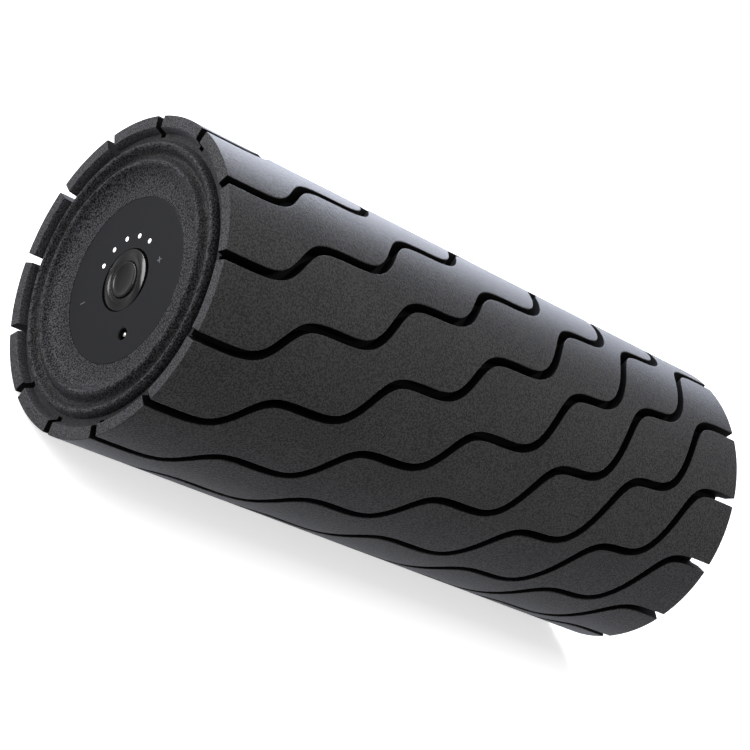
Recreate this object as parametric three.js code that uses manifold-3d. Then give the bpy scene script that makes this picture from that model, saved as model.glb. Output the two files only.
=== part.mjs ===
// A vibrating foam roller: a grooved foam tread on a rigid core in two halves, with a battery and an
// off-balance motor inside, and its controls sunk into one end. Sizes are in millimetres.
// X runs along the roller and the controls are at its low end. Everything is drawn with the panel upright
// (+Z), and the whole roller is then rolled about X to the attitude in which it lies on a floor.

import * as THREE from 'three';
import { mergeVertices } from 'three/addons/utils/BufferGeometryUtils.js';
import Module from 'manifold-3d';

const wasm = await Module();
wasm.setup();

const radians = THREE.MathUtils.degToRad;

// Overall size and attitude
const rollerLength = 305;
const rollerRadius = 66;
const restRoll = radians(-58.45);
const halfLength = rollerLength / 2;

// Clearances
const seat = 0.3;
const buttonGap = 0.5;
const rockerGap = 0.4;
const turningGap = 1.5;
const plungerGap = 0.1;

// How far a joined piece runs into its neighbour, and how far a cutter runs past the face it cuts
const merge = 0.5;
const past = 1;

// Foam tread and its grooves, which run level and then step down round the roller, again and again
const foamThickness = 13;
const grooveCount = 13;
const grooveWidth = 4;
const grooveDepth = 8;
const grooveDraft = 0.3;
const grooveStart = radians(0.6);
const stepPlaces = [37, 87, 134.5, 184, 228, 271];
const stepDrops = [18.5, 23, 22, 28.5, 35, 34.5];
const stepSoftness = 8;

// End face of the foam: places in from the roller's outside, and depths below its rim
const rimWidth = 5;
const rimLean = 1.5;
const valleyDepth = 3.5;
const innerValleyDepth = 3;
const crestDepth = 0.3;
const crestWidth = 2;
const ringInset = 9.5;
const outerCrestInset = 11.7;
const innerCrestInset = 19.1;
const dishDepth = 5;
const dishFlat = 2.8;

// Control panel and what shows in it
const panelRadius = 34.2;
const panelThickness = 2.4;
const panelEdge = 0.6;
const panelLip = 2.1;
const lipThickness = 1.5;
const rockerRadius = 12.5;
const padHeight = 1;
const sideSlit = 0.8;
const rockerThickness = 3.4;
const rockerPivotDepth = 8.9;
const trunnionRadius = 1;
const trunnionLength = 2.6;
const trunnionRoot = 1.5;
const cheekWidth = 5;
const cheekInset = 0.3;
const cheekWall = 1;
const postRadius = 1.2;
const lugThickness = 2.4;
const lugWidth = 5;
const lugWall = 1.1;
const lugSetback = 0.2;
const buttonRadius = 7.4;
const buttonProud = 1.2;
const buttonDish = 0.9;
const buttonRim = 0.8;
const stemRadius = 2.2;
const buttonTravel = 0.5;
const rockerTravel = radians(2.5);
const lightCount = 5;
const lightRing = 18;
const lightRadius = 1;
const lightSpacing = radians(25);
const lightBarWidth = 2.8;
const lightBarThickness = 2.4;
const lightBarOverhang = radians(5);
const lightRecess = 0.05;
const socketRing = 23.4;
const socketBore = 2.9;
const socketWall = 1.5;
const socketFloor = 2;
const socketPinRadius = 1;
const socketPinRecess = 0.7;
const socketPinNose = 0.4;
const pilotSkin = 0.8;

// Control board, its switches and its screws
const boardInset = 3.2;
const boardThickness = 1.6;
const boardDepth = 13.8;
const boardBossInset = 7.7;
const boardScrewCount = 3;
const bossRadius = 3;
const switchSide = 6;
const switchHeight = 3.5;
const plungerRadius = 1.7;
const plungerHeight = 0.9;
const switchSpacing = 10.2;
const chipSide = 8;
const chipHeight = 1.4;
const chipPlace = 10;
const plugSocketHeight = 4;
const plugSocketWidth = 8;
const plugSocketDepth = 6;
const smallScrew = { headRadius: 2.1, headHeight: 1.6, shankRadius: 1.1, length: 6 };

// End frames, which close the core and carry the panel or the plain cap
const frameWall = 2;
const flangeThickness = 2.7;
const flangeDepth = 13.3;
const spigotLength = 6;
const potFloorDepth = 24;
const farFloorDepth = 9.7;
const gussetCount = 6;
const gussetThickness = 2;
const gussetDepth = 7;
const gussetInset = 1;
const wireHoleRing = 15;
const wireHoleRadius = 5;
const frameScrewCount = 3;
const bossWall = 1.9;
const bossSink = 0.6;
const frameScrew = { headRadius: 2.8, headHeight: 1.6, shankRadius: 1.4, length: 13 };

// Core shells
const shellWall = 3;
const bulkheadThickness = 4;
const endBossLength = 14;
const sideBossInset = 5.2;
const sideBossRadius = 4.2;
const sideScrewPlaces = [105, 200];
const sideScrewSeat = 8;
const sideScrew = { headRadius: 2.8, headHeight: 2.2, shankRadius: 1.5, length: 18 };
const pilotDepth = 14;
const wireSlotInset = 13.7;
const wireSlotWidth = 7;
const wireSlotHeight = 8;

// Battery pack of three cells round the axis
const cellRadius = 9.1;
const cellLength = 65;
const cellGap = 0.8;
const cellCount = 3;
const batteryPlace = 62.5;
const holderRadius = 24;
const holderThickness = 4;
const holderPocket = 2.5;
const cellShoulder = 1.2;
const contactRadius = 3.6;
const contactHeight = 1;

// Motor on the axis, with a weight at each end of its shaft
const motorPlace = 182.5;
const motorRadius = 18;
const motorLength = 50;
const motorNose = 6.5;
const motorNoseLength = 3;
const motorEdge = 1.5;
const motorBulkheadInset = 8;
const shaftRadius = 2.5;
const shaftEnd = 1;
const weightRadius = 22;
const weightThickness = 12;
const weightSpan = radians(164);
const hubRadius = 7;

// Leads between the battery, the board and the motor
const leadRadius = 1.8;
const leadSides = 6;
const leadStep = 11;
const leadStart = 12;
const leadBend = 28;
const leadClear = 20;
const batteryLeadDrop = 3;

// Places that follow from those sizes
const groovePitch = 2 * Math.PI / grooveCount;
const boreRadius = rollerRadius - foamThickness;
const ringRadius = rollerRadius - ringInset;
const outerCrest = rollerRadius - outerCrestInset;
const innerCrest = rollerRadius - innerCrestInset;
const dishEdge = panelRadius + dishFlat;
const boardRadius = panelRadius - boardInset;
const boardBossRing = panelRadius - boardBossInset;
const shellOuter = boreRadius - seat;
const shellInner = shellOuter - shellWall;
const sideBossRing = shellInner - sideBossInset;
const wireSlotRing = shellInner - wireSlotInset;
const coreHalfLength = halfLength - flangeDepth - flangeThickness - seat;
const bossOuter = frameScrew.shankRadius + seat + bossWall;
const frameScrewRing = shellInner - bossOuter + bossSink;
const panelRear = dishDepth + panelThickness;
const plungerTop = boardDepth - seat - switchHeight - plungerHeight;

// Facets of the round pieces
const treadFlats = 48;
const wideFacets = 32;
const boreFacets = 24;
const frameFacets = 20;
const controlFacets = 28;
const smallFacets = 14;
const bossFacets = 8;
const screwFacets = 6;
const blockFacets = 2;
const arcFacets = 8;
const saddleFacets = 6;
const dishFacets = 3;
const valleyFacets = 2;
const rockerRings = 5;
const stationSpread = [-1.55, -0.5, 0.5, 1.55];

// Finishes
const finishes = {
  tread: { color: 0x2e2f32, roughness: 0.85, metalness: 0 },
  endFoam: { color: 0x3a3b3e, roughness: 0.95, metalness: 0 },
  panel: { color: 0x222326, roughness: 0.4, metalness: 0 },
  button: { color: 0x2b2c2f, roughness: 0.35, metalness: 0 },
  light: { color: 0xf4f6f8, roughness: 0.2, metalness: 0 },
  socket: { color: 0x121214, roughness: 0.5, metalness: 0 },
  shell: { color: 0x3c3f44, roughness: 0.6, metalness: 0 },
  board: { color: 0x1d4a33, roughness: 0.5, metalness: 0 },
  steel: { color: 0x9a9da1, roughness: 0.35, metalness: 1 },
  can: { color: 0xb0b3b7, roughness: 0.4, metalness: 1 },
  cell: { color: 0x2f6fa8, roughness: 0.45, metalness: 0 },
  holder: { color: 0x17181a, roughness: 0.6, metalness: 0 },
  lead: { color: 0x8a1f1f, roughness: 0.6, metalness: 0 },
};

// Solids

// A closed geometry as a solid that faces out, with shared corners merged and flat slivers left out
function solid(geometry) {
  const bare = new THREE.BufferGeometry();
  bare.setAttribute('position', geometry.getAttribute('position'));
  bare.setIndex(geometry.getIndex());
  const merged = mergeVertices(bare, 1e-4);
  const corners = merged.getAttribute('position');
  const index = merged.getIndex().array;
  const triangles = [];
  let volume = 0;
  const [a, b, c] = [new THREE.Vector3(), new THREE.Vector3(), new THREE.Vector3()];
  for (let i = 0; i < index.length; i += 3) {
    const [p, q, r] = [index[i], index[i + 1], index[i + 2]];
    if (p === q || q === r || r === p) continue;
    triangles.push(p, q, r);
    a.fromBufferAttribute(corners, p);
    b.fromBufferAttribute(corners, q);
    c.fromBufferAttribute(corners, r);
    volume += a.dot(b.cross(c));
  }
  if (volume < 0) triangles.reverse();
  return new wasm.Manifold(new wasm.Mesh({
    numProp: 3,
    vertProperties: new Float32Array(corners.array),
    triVerts: new Uint32Array(triangles),
  }));
}

function join(first, ...others) {
  return others.reduce((whole, piece) => whole.add(piece), first);
}

function cut(first, ...others) {
  return others.reduce((whole, piece) => whole.subtract(piece), first);
}

// A profile of [radius, x] points turned about the X axis
function turned(profile, facets) {
  const points = profile.map(([radius, x]) => new THREE.Vector2(radius, x));
  if (profile[0][0] > 0) points.push(points[0].clone());
  return solid(new THREE.LatheGeometry(points, facets).rotateZ(-Math.PI / 2));
}

function disc(radius, from, to, facets = frameFacets) {
  return turned([[0, from], [radius, from], [radius, to], [0, to]], facets);
}

// The radius at the corners of a round hole whose flats are clear of what fits in it
function holeCorner(radius, facets) {
  return radius / Math.cos(Math.PI / facets);
}

function hole(radius, from, to, facets = smallFacets) {
  return disc(holeCorner(radius, facets), from, to, facets);
}

function tube(inner, outer, from, to, facets = frameFacets) {
  const corner = holeCorner(inner, facets);
  return turned([[corner, from], [outer, from], [outer, to], [corner, to]], facets);
}

function block(from, to) {
  const size = to.map((high, i) => high - from[i]);
  const middle = to.map((high, i) => (high + from[i]) / 2);
  return solid(new THREE.BoxGeometry(...size).translate(...middle));
}

// A shape drawn in Y and Z, extruded along X
function plate(shape, from, to, curveSegments) {
  const geometry = new THREE.ExtrudeGeometry(shape, { depth: to - from, bevelEnabled: false, curveSegments });
  const across = new THREE.Vector3(0, 1, 0);
  const up = new THREE.Vector3(0, 0, 1);
  const along = new THREE.Vector3(1, 0, 0);
  return solid(geometry.applyMatrix4(new THREE.Matrix4().makeBasis(across, up, along)).translate(from, 0, 0));
}

function moved(piece, x, y, z) {
  return piece.translate([x, y, z]);
}

// A point on a circle about X
function onRing(radius, angle) {
  return [radius * Math.cos(angle), radius * Math.sin(angle)];
}

// Points spread evenly on a circle about X, the first at the top
function spread(radius, count) {
  return Array.from({ length: count }, (_, i) => onRing(radius, Math.PI / 2 + i * 2 * Math.PI / count));
}

function ringOf(piece, radius, count) {
  return spread(radius, count).map(([y, z]) => moved(piece, 0, y, z));
}

// Foam tread

// How far the grooves have stepped round at x, and how steeply they run there
function grooveRun(x) {
  let angle = grooveStart;
  let slope = 0;
  stepPlaces.forEach((place, i) => {
    const drop = radians(stepDrops[i]);
    const bend = Math.tanh((x + halfLength - place) / stepSoftness);
    angle -= drop * (1 + bend) / 2;
    slope -= drop * (1 - bend * bend) / (2 * stepSoftness);
  });
  return { angle, slope };
}

// Places along the roller for its sections: close together in the steps and far apart on the level runs
function treadStations() {
  const stations = [-halfLength, halfLength];
  for (const place of stepPlaces) {
    for (const spread of stationSpread) stations.push(place - halfLength + spread * stepSoftness);
  }
  return stations.filter((x) => Math.abs(x) <= halfLength).sort((a, b) => a - b);
}

// One section of the tread: block tops on the outside, and a drafted groove between each two blocks.
// The tops stand past the roller's outside, which is cut to its size afterwards.
function treadSection(x) {
  const { angle, slope } = grooveRun(x);
  const stretch = Math.hypot(1, rollerRadius * slope);
  const floorRadius = rollerRadius - grooveDepth;
  const topRadius = rollerRadius + past;
  const halfAt = (radius) => {
    const half = grooveWidth / 2 + grooveDraft * (radius - rollerRadius) / grooveDepth;
    return half * stretch / rollerRadius;
  };
  const [topHalf, floorHalf] = [halfAt(topRadius), halfAt(floorRadius)];
  const points = [];
  for (let i = 0; i < grooveCount; i += 1) {
    const middle = angle + i * groovePitch;
    points.push([x, ...onRing(floorRadius, middle - floorHalf)]);
    points.push([x, ...onRing(floorRadius, middle + floorHalf)]);
    for (let j = 0; j <= blockFacets; j += 1) {
      const along = middle + topHalf + (groovePitch - 2 * topHalf) * j / blockFacets;
      points.push([x, ...onRing(topRadius, along)]);
    }
  }
  return points;
}

// The sections joined into one closed skin, with each face split along its shorter diagonal
function treadBlank() {
  const sections = treadStations().map(treadSection);
  const count = sections[0].length;
  const corners = sections.flat();
  const [low, high] = [corners.length, corners.length + 1];
  corners.push([-halfLength, 0, 0], [halfLength, 0, 0]);
  const distance = (a, b) => Math.hypot(...corners[a].map((value, i) => value - corners[b][i]));
  const faces = [];
  for (let j = 0; j < count; j += 1) {
    const next = (j + 1) % count;
    faces.push(low, next, j);
    const last = (sections.length - 1) * count;
    faces.push(high, last + j, last + next);
    for (let i = 0; i + 1 < sections.length; i += 1) {
      const [a, b] = [i * count + j, i * count + next];
      const [c, d] = [a + count, b + count];
      if (distance(a, d) < distance(b, c)) faces.push(a, b, d, a, d, c);
      else faces.push(a, b, c, b, d, c);
    }
  }
  const geometry = new THREE.BufferGeometry();
  geometry.setAttribute('position', new THREE.Float32BufferAttribute(corners.flat(), 3));
  geometry.setIndex(faces);
  return solid(geometry);
}

// The space at each end for the foam ring and its frame, with the valley inside the rim
function endRecess() {
  const rim = rollerRadius - rimWidth;
  const mouth = rim + rimLean * past / valleyDepth;
  const floor = flangeDepth + flangeThickness + seat;
  return turned([
    [0, -past],
    [mouth, -past],
    [rim - rimLean, valleyDepth],
    [ringRadius, valleyDepth],
    [ringRadius, floor],
    [0, floor],
  ], wideFacets);
}

// The roller's outside, made of narrow flats with one of them straight down, so that it lies still
function treadOutside() {
  const flatDown = 180 / treadFlats - THREE.MathUtils.radToDeg(restRoll);
  return hole(rollerRadius, -halfLength - past, halfLength + past, treadFlats).rotate([flatDown, 0, 0]);
}

function treadSleeve() {
  const near = endRecess().translate([-halfLength, 0, 0]);
  const far = endRecess().rotate([0, 0, 180]).translate([halfLength, 0, 0]);
  const bore = hole(boreRadius, -halfLength - past, halfLength + past, boreFacets);
  return cut(treadBlank().intersect(treadOutside()), bore, near, far);
}

// Points on a curve that leaves one point and meets another, pulled towards a third
function bowed(from, pull, to, count) {
  const points = [from, pull, to].map((point) => new THREE.Vector2(...point));
  const curve = new THREE.QuadraticBezierCurve(...points);
  return curve.getPoints(count).map((point) => [point.x, point.y]);
}

// Foam ring in each end, with two raised rings and a dish down to the panel
function endRing() {
  const [inner, outer] = [panelRadius + seat, ringRadius - seat];
  const rear = flangeDepth - seat;
  const half = crestWidth / 2;
  const shoulder = crestDepth + half / 2;
  const middle = (innerCrest + outerCrest) / 2;
  const dish = bowed(
    [dishEdge, dishDepth],
    [innerCrest - half * 3, dishDepth],
    [innerCrest - half, shoulder],
    dishFacets,
  );
  const valley = bowed(
    [innerCrest + half, shoulder],
    [middle, innerValleyDepth * 2 - crestDepth],
    [outerCrest - half, shoulder],
    valleyFacets,
  );
  return turned([
    [inner, dishDepth],
    ...dish,
    [innerCrest, crestDepth],
    ...valley,
    [outerCrest, crestDepth],
    [outerCrest + half, shoulder],
    [outer, valleyDepth],
    [outer, rear],
    [inner, rear],
  ], wideFacets);
}

// Controls, each drawn with x as its depth below the rim

function controlPanel() {
  const lugDepth = rockerPivotDepth + trunnionRadius + seat + lugWall;
  const lugInner = rockerRadius + rockerGap + lugSetback;
  const root = panelRear - merge;
  const bossEnd = boardDepth - seat;
  const face = turned([
    [0, dishDepth],
    [panelRadius - panelEdge, dishDepth],
    [panelRadius, dishDepth + panelEdge],
    [panelRadius, panelRear],
    [0, panelRear],
  ], wideFacets);
  const lipOuter = panelRadius - frameWall - seat;
  const lip = tube(lipOuter - lipThickness, lipOuter, root, panelRear + panelLip, frameFacets);
  const bosses = ringOf(disc(bossRadius, root, bossEnd, bossFacets), boardBossRing, boardScrewCount);
  const pilot = hole(smallScrew.shankRadius + seat, panelRear + pilotSkin, bossEnd + past, bossFacets);
  const pilots = ringOf(pilot, boardBossRing, boardScrewCount);
  const lights = lightAngles().map((angle) => {
    const [y, z] = onRing(lightRing, angle);
    return moved(hole(lightRadius + seat, dishDepth - past, panelRear + past, bossFacets), 0, y, z);
  });
  const lugs = [1, -1].map((side) => {
    const [near, far] = [side * lugInner, side * (lugInner + lugThickness)];
    return block(
      [root, -lugWidth / 2, Math.min(near, far)],
      [lugDepth, lugWidth / 2, Math.max(near, far)],
    );
  });
  const pivotEnd = lugInner + lugThickness + past;
  const pivot = upright(hole(trunnionRadius + seat, -pivotEnd, pivotEnd, bossFacets), rockerPivotDepth);
  return cut(
    join(face, lip, ...bosses, ...lugs),
    hole(rockerRadius + rockerGap, dishDepth - past, panelRear + past, controlFacets),
    hole(socketBore, dishDepth - past, panelRear + past).translate([0, 0, -socketRing]),
    ...pilots, ...lights, pivot,
  );
}

// A piece that was turned about X, stood upright along Z at a depth
function upright(piece, depth) {
  return piece.rotate([0, -90, 0]).translate([depth, 0, 0]);
}

function lightAngles() {
  const first = Math.PI / 2 - (lightCount - 1) / 2 * lightSpacing;
  return Array.from({ length: lightCount }, (_, i) => first + i * lightSpacing);
}

// The ring round the button, with a raised pad left and right. It rocks on two trunnions, one above and one
// below, and narrows beside the pads, so that a slit shows there.
function speedRocker() {
  const inner = buttonRadius + buttonGap;
  const under = dishDepth + rockerThickness;
  const topRings = Array.from({ length: rockerRings }, (_, i) => (
    [inner + (rockerRadius - inner) * i / (rockerRings - 1), 0]
  ));
  const points = [...topRings, [rockerRadius, under], [inner, under], [inner, 0]]
    .map(([radius, x]) => new THREE.Vector2(radius, x));
  const ring = new THREE.LatheGeometry(points, controlFacets).rotateZ(-Math.PI / 2);
  const corners = ring.getAttribute('position');
  for (let i = 0; i < corners.count; i += 1) {
    const [y, z] = [corners.getY(i), corners.getZ(i)];
    const radius = Math.hypot(y, z);
    const sideways = (y / radius) ** 2;
    const across = (radius - inner) / (rockerRadius - inner);
    const narrowed = 1 - (sideSlit - rockerGap) * across * sideways / radius;
    const top = dishDepth - padHeight * Math.sin(Math.PI * across) * sideways;
    corners.setXYZ(i, corners.getX(i) < under / 2 ? top : under, y * narrowed, z * narrowed);
  }
  const cheekDepth = rockerPivotDepth + trunnionRadius;
  const cheeks = [1, -1].map((side) => {
    const [near, far] = [side * (inner + cheekWall), side * (rockerRadius - cheekInset)];
    return block(
      [under - merge, -cheekWidth / 2, Math.min(near, far)],
      [cheekDepth, cheekWidth / 2, Math.max(near, far)],
    );
  });
  const reach = rockerRadius + rockerGap + trunnionLength;
  const trunnions = [[-reach, -inner - trunnionRoot], [inner + trunnionRoot, reach]]
    .map(([from, to]) => upright(disc(trunnionRadius, from, to, bossFacets), rockerPivotDepth));
  const postEnd = plungerTop - plungerGap - switchSpacing * Math.sin(rockerTravel);
  const posts = [1, -1].map((side) => (
    disc(postRadius, under - merge, postEnd, bossFacets).translate([0, side * switchSpacing, 0])
  ));
  return join(solid(ring), ...cheeks, ...trunnions, ...posts);
}

// The dished button in the middle, with the stem that meets its switch
function powerButton() {
  const top = dishDepth - buttonProud;
  const floor = top + buttonDish;
  const dish = bowed([0, floor], [buttonRadius / 2, floor], [buttonRadius - buttonRim, top], dishFacets);
  const stem = plungerTop - plungerGap - buttonTravel;
  return turned([
    ...dish,
    [buttonRadius, top + buttonRim],
    [buttonRadius, panelRear],
    [stemRadius, panelRear],
    [stemRadius, stem],
    [0, stem],
  ], controlFacets);
}

// One clear moulding that carries light from the board to the five dots
function lightGuide() {
  const [first, last] = [lightAngles()[0], lightAngles()[lightCount - 1]];
  const [inner, outer] = [lightRing - lightBarWidth / 2, lightRing + lightBarWidth / 2];
  const [start, end] = [first - lightBarOverhang, last + lightBarOverhang];
  const shape = new THREE.Shape();
  shape.absarc(0, 0, outer, start, end, false);
  shape.absarc(0, 0, inner, end, start, true);
  const from = panelRear + seat;
  const bar = plate(shape, from, from + lightBarThickness, arcFacets);
  const pins = lightAngles().map((angle) => {
    const [y, z] = onRing(lightRing, angle);
    return disc(lightRadius, dishDepth + lightRecess, from + merge, bossFacets).translate([0, y, z]);
  });
  return join(bar, ...pins);
}

function chargingSocket() {
  const outer = socketBore + socketWall;
  const rear = boardDepth - seat;
  return cut(
    tube(socketBore, outer, panelRear + seat, rear - merge, smallFacets)
      .add(disc(outer, rear - socketFloor, rear, smallFacets)),
    hole(socketPinRadius + seat, 0, rear + past, bossFacets),
  ).translate([0, 0, -socketRing]);
}

function socketPin() {
  const tip = dishDepth + socketPinRecess;
  return turned([
    [0, tip],
    [socketPinRadius - socketPinNose, tip],
    [socketPinRadius, tip + socketPinNose],
    [socketPinRadius, boardDepth - seat],
    [0, boardDepth - seat],
  ], bossFacets).translate([0, 0, -socketRing]);
}

// The board with its chip and the two small sockets for the leads on its back
function controlBoard() {
  const rear = boardDepth + boardThickness;
  const chip = block(
    [rear - merge, chipPlace - chipSide / 2, -chipSide / 2],
    [rear + chipHeight, chipPlace + chipSide / 2, chipSide / 2],
  );
  const plugSockets = [1, -1].map((side) => block(
    [rear - merge, -plugSocketWidth / 2, side * wireHoleRing - plugSocketDepth / 2],
    [rear + plugSocketHeight, plugSocketWidth / 2, side * wireHoleRing + plugSocketDepth / 2],
  ));
  const screwHole = hole(smallScrew.shankRadius + seat, boardDepth - past, rear + past, bossFacets);
  return cut(
    join(disc(boardRadius, boardDepth, rear), chip, ...plugSockets),
    ...ringOf(screwHole, boardBossRing, boardScrewCount),
  );
}

function tactSwitch(y) {
  const rear = boardDepth - seat;
  const front = rear - switchHeight;
  const half = switchSide / 2;
  return join(
    block([front, -half, -half], [rear, half, half]),
    disc(plungerRadius, plungerTop, front + merge, bossFacets),
  ).translate([0, y, 0]);
}

// A screw along +X, its head's outer face at 0
function screw({ headRadius, headHeight, shankRadius, length }) {
  return turned([
    [0, 0],
    [headRadius, 0],
    [headRadius, headHeight],
    [shankRadius, headHeight],
    [shankRadius, length],
    [0, length],
  ], screwFacets);
}

// End frames and the plain cap

// Flange on the core's end, a spigot inside it, and a ribbed pot that the panel or cap closes
function endFrame(floorDepth, wireHoles) {
  const flangeRear = flangeDepth + flangeThickness;
  const potInner = panelRadius - frameWall;
  const spigotOuter = shellInner - seat;
  const root = flangeRear - merge;
  const floorRear = floorDepth + frameWall;
  const potRear = Math.max(floorRear, flangeRear);
  const wall = tube(potInner, panelRadius, panelRear + seat, potRear);
  const floor = disc(panelRadius - merge, floorDepth, floorRear);
  const flange = tube(panelRadius - merge, ringRadius - seat, flangeDepth, flangeRear);
  const spigot = tube(spigotOuter - frameWall, spigotOuter, root, flangeRear + spigotLength);
  const [gussetFoot, gussetTip] = [panelRadius - gussetInset, spigotOuter - frameWall - gussetInset];
  const gusset = new THREE.Shape([
    new THREE.Vector2(root, gussetFoot),
    new THREE.Vector2(flangeRear + gussetDepth, gussetFoot),
    new THREE.Vector2(flangeRear, gussetTip),
    new THREE.Vector2(root, gussetTip),
  ]);
  const gussets = potRear > flangeRear
    ? Array.from({ length: gussetCount }, (_, i) => radialRib(gusset, i * 360 / gussetCount))
    : [];
  const headFloor = flangeDepth + frameScrew.headHeight + seat;
  const screwHole = hole(frameScrew.shankRadius + seat, 0, flangeRear + past, bossFacets);
  const headRecess = hole(frameScrew.headRadius + seat, 0, headFloor, bossFacets);
  const bossNotch = hole(bossOuter + seat, flangeRear, flangeRear + spigotLength + past, bossFacets);
  const holes = [screwHole, headRecess, bossNotch]
    .flatMap((cutter) => ringOf(cutter, frameScrewRing, frameScrewCount));
  const wireHole = hole(wireHoleRadius, floorDepth - past, floorRear + past);
  const wires = wireHoles ? [1, -1].map((side) => moved(wireHole, 0, 0, side * wireHoleRing)) : [];
  return cut(join(wall, floor, flange, spigot, ...gussets), ...holes, ...wires);
}

// A rib drawn in depth and radius, stood on the Z side and turned about X
function radialRib(shape, degrees) {
  const geometry = new THREE.ExtrudeGeometry(shape, { depth: gussetThickness, bevelEnabled: false });
  const across = new THREE.Vector3(0, 0, 1);
  const back = new THREE.Vector3(0, -1, 0);
  const along = new THREE.Vector3(1, 0, 0);
  geometry.applyMatrix4(new THREE.Matrix4().makeBasis(along, across, back));
  geometry.translate(0, gussetThickness / 2, 0);
  return solid(geometry).rotate([degrees, 0, 0]);
}

function farCap() {
  const lipOuter = panelRadius - frameWall - seat;
  return join(
    turned([
      [0, dishDepth],
      [panelRadius - panelEdge, dishDepth],
      [panelRadius, dishDepth + panelEdge],
      [panelRadius, panelRear],
      [0, panelRear],
    ], wideFacets),
    tube(lipOuter - lipThickness, lipOuter, panelRear - merge, farFloorDepth - seat, frameFacets),
  );
}

// Core shells

// Half of a ring with its ends level, a little short of the middle plane
function halfRing(inner, outer) {
  const shape = new THREE.Shape();
  const lift = (radius) => Math.asin(seat / 2 / radius);
  shape.absarc(0, 0, outer, lift(outer), Math.PI - lift(outer), false);
  shape.absarc(0, 0, inner, Math.PI - lift(inner), lift(inner), true);
  return shape;
}

// Where each bulkhead stands and what its round saddle holds
function bulkheads() {
  const battery = batteryPlace + seat;
  const batteryEnd = battery + cellLength - 2 * holderPocket + 2 * holderThickness;
  const saddles = [
    { place: battery, thickness: holderThickness, radius: holderRadius },
    { place: batteryEnd - holderThickness, thickness: holderThickness, radius: holderRadius },
    { place: motorPlace + motorBulkheadInset, thickness: bulkheadThickness, radius: motorRadius },
    {
      place: motorPlace + motorLength - motorBulkheadInset - bulkheadThickness,
      thickness: bulkheadThickness,
      radius: motorRadius,
    },
  ];
  return saddles.map((saddle) => ({ ...saddle, place: saddle.place - halfLength }));
}

// Distances from the control end to the two weights
function weightPlaces() {
  return [
    motorPlace - motorNoseLength - turningGap - weightThickness,
    motorPlace + motorLength + motorNoseLength + turningGap,
  ];
}

// One half of the core: its wall, bulkheads, end bosses for the frames and side bosses for its own screws
function coreShell(side) {
  const pieces = [plate(halfRing(shellInner, shellOuter), -coreHalfLength, coreHalfLength, boreFacets / 2)];
  for (const { place, thickness, radius } of bulkheads()) {
    pieces.push(plate(halfRing(radius + seat, shellInner + merge), place, place + thickness, saddleFacets));
  }
  const holes = [];
  const endBoss = disc(bossOuter, 0, endBossLength, bossFacets);
  const endPilot = hole(frameScrew.shankRadius + seat, -past, frameScrew.length, bossFacets);
  for (const [y, above] of spread(frameScrewRing, frameScrewCount)) {
    if (Math.sign(above) !== side) continue;
    const z = Math.abs(above);
    pieces.push(endBoss.translate([-coreHalfLength, y, z]));
    pieces.push(endBoss.translate([coreHalfLength - endBossLength, y, z]));
    holes.push(endPilot.translate([-coreHalfLength, y, z]));
    holes.push(endPilot.translate([coreHalfLength - frameScrew.length, y, z]));
  }
  const keep = disc(shellOuter - shellWall / 2, -coreHalfLength, coreHalfLength, wideFacets);
  const sideBoss = upright(disc(sideBossRadius, seat / 2, shellOuter, bossFacets), 0);
  const shankHole = upright(hole(sideScrew.shankRadius + seat, -past, shellOuter, bossFacets), 0);
  const headHole = upright(hole(sideScrew.headRadius + seat, sideScrewSeat, shellOuter, bossFacets), 0);
  const pilotHole = upright(hole(sideScrew.shankRadius + seat, -past, pilotDepth, bossFacets), 0);
  for (const along of sideScrewPlaces) {
    for (const hand of [1, -1]) {
      const at = [along - halfLength, hand * sideBossRing, 0];
      pieces.push(sideBoss.translate(at).intersect(keep));
      const cutters = side > 0 ? [shankHole, headHole] : [pilotHole];
      holes.push(...cutters.map((cutter) => cutter.translate(at)));
    }
  }
  if (side < 0) {
    holes.push(block(
      [-coreHalfLength + endBossLength, -wireSlotWidth / 2, wireSlotRing - wireSlotHeight / 2],
      [motorPlace - halfLength, wireSlotWidth / 2, wireSlotRing + wireSlotHeight / 2],
    ));
  }
  const half = cut(join(...pieces), ...holes);
  return side > 0 ? half : half.mirror([0, 0, 1]);
}

// Battery pack

function cellCentres() {
  const pitch = 2 * cellRadius + cellGap;
  return spread(pitch / (2 * Math.sin(Math.PI / cellCount)), cellCount);
}

// A cell with its rolled shoulder and raised contact
function batteryCell([y, z]) {
  const from = batteryPlace + seat + holderThickness - holderPocket + seat - halfLength;
  const to = from + cellLength - 2 * seat;
  return turned([
    [0, from],
    [cellRadius, from],
    [cellRadius, to - contactHeight - cellShoulder],
    [cellRadius - cellShoulder, to - contactHeight],
    [contactRadius, to - contactHeight],
    [contactRadius, to],
    [0, to],
  ], smallFacets).translate([0, y, z]);
}

// A round plate with a pocket for the end of each cell
function batteryHolder() {
  const pocket = hole(cellRadius + seat, holderThickness - holderPocket, holderThickness + past);
  const pockets = cellCentres().map(([y, z]) => pocket.translate([0, y, z]));
  return cut(disc(holderRadius, 0, holderThickness), ...pockets);
}

// Motor, shaft and weights

function motorCan() {
  const from = motorPlace - halfLength;
  const to = from + motorLength;
  return cut(
    turned([
      [0, from - motorNoseLength],
      [motorNose, from - motorNoseLength],
      [motorNose, from],
      [motorRadius - motorEdge, from],
      [motorRadius, from + motorEdge],
      [motorRadius, to - motorEdge],
      [motorRadius - motorEdge, to],
      [motorNose, to],
      [motorNose, to + motorNoseLength],
      [0, to + motorNoseLength],
    ], smallFacets),
    hole(shaftRadius + seat, from - motorNoseLength - past, to + motorNoseLength + past),
  );
}

function motorShaft() {
  const [near, far] = weightPlaces();
  const reach = weightThickness + shaftEnd;
  return disc(shaftRadius, near - shaftEnd - halfLength, far + reach - halfLength, smallFacets);
}

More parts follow.
